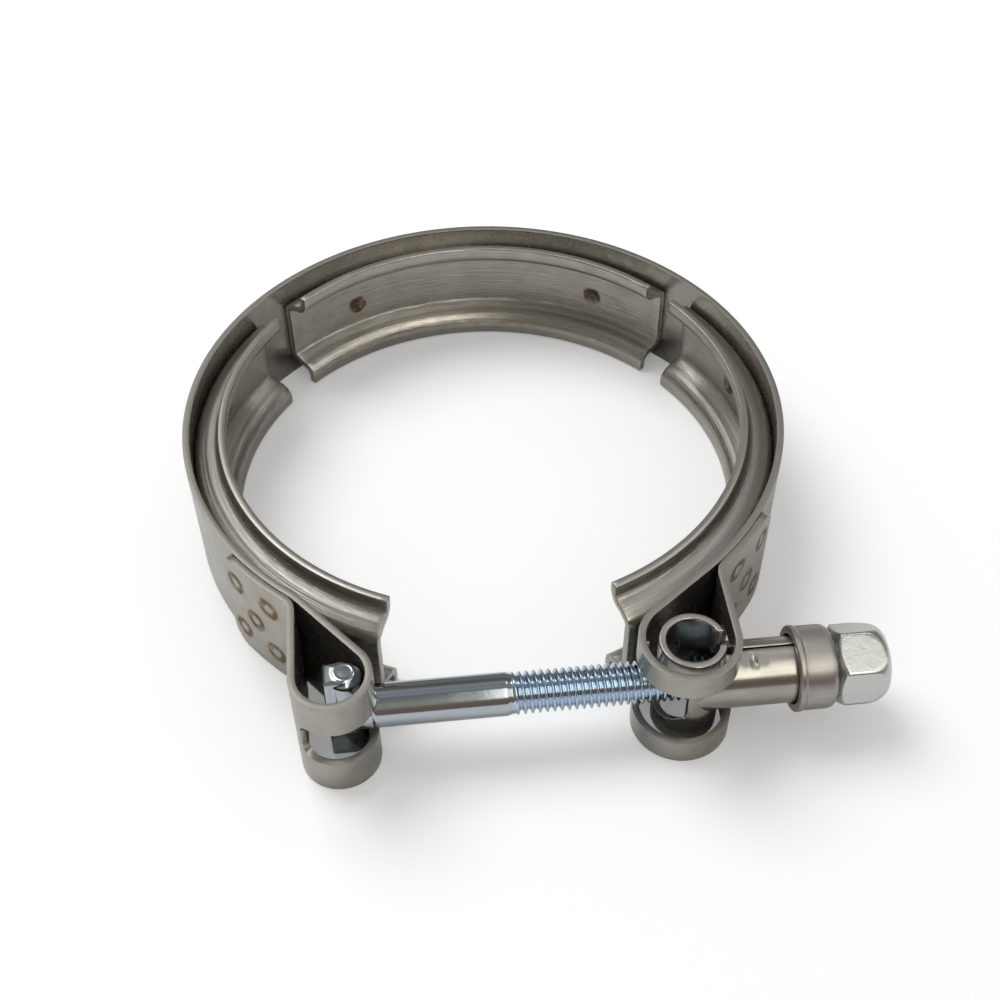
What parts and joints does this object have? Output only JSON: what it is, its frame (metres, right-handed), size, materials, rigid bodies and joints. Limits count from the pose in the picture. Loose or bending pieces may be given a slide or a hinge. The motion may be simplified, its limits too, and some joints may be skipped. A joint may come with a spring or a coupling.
{
  "type": "v-band pipe clamp",
  "caption": "Round V-section pipe clamp: welded strap with an end loop each side, drawn together by a T-head bolt with a swivelling trunnion and lock nut.",
  "frame": {"origin": "centre of the ring, half way up the strap, on the axis of the clamped pipe", "axes": "+Z along the pipe's axis, +X along the bolt from its head to its nut, -Y towards the latch"},
  "size_m": [0.0963, 0.0998, 0.0188],
  "materials": {
    "strap_steel": "satin rolled stainless strip",
    "insert_steel": "rolled stainless sheet",
    "bolt_zinc": "bright zinc plate",
    "trunnion_steel": "rolled stainless sheet",
    "cup_steel": "pressed stainless",
    "nut_zinc": "bright zinc plate",
    "ring_nylon": "plain nylon"
  },
  "bodies": {
    "band": {"band_strap": "strap_steel", "back_insert": "insert_steel", "left_insert": "insert_steel", "right_insert": "insert_steel"},
    "swivel": {"trunnion": "trunnion_steel", "thrust_cup": "cup_steel"},
    "bolt": {"t_bolt": "bolt_zinc"},
    "nut": {"lock_nut": "nut_zinc", "lock_ring": "ring_nylon"}
  },
  "joints": [
    {"name": "trunnion_swing", "type": "hinge", "parent": "band", "child": "swivel", "pos_m": [0.02345, -0.04705, 0], "axis": [0, 0, 1], "range_deg": [-0.15, 2.6]},
    {"name": "nut_turn", "type": "hinge", "parent": "swivel", "child": "nut", "pos_m": [0.046, -0.04705, 0], "axis": [1, 0, 0], "range_deg": [-36.5, 1188.5]},
    {"name": "bolt_draw", "type": "slide", "parent": "swivel", "child": "bolt", "axis": [1, 0, 0], "range_m": [-0.0033, 0.0001]}
  ],
  "couplings": [
    {"joint": "nut_turn", "follows": "bolt_draw", "rad_per_m": -6283.2}
  ]
}
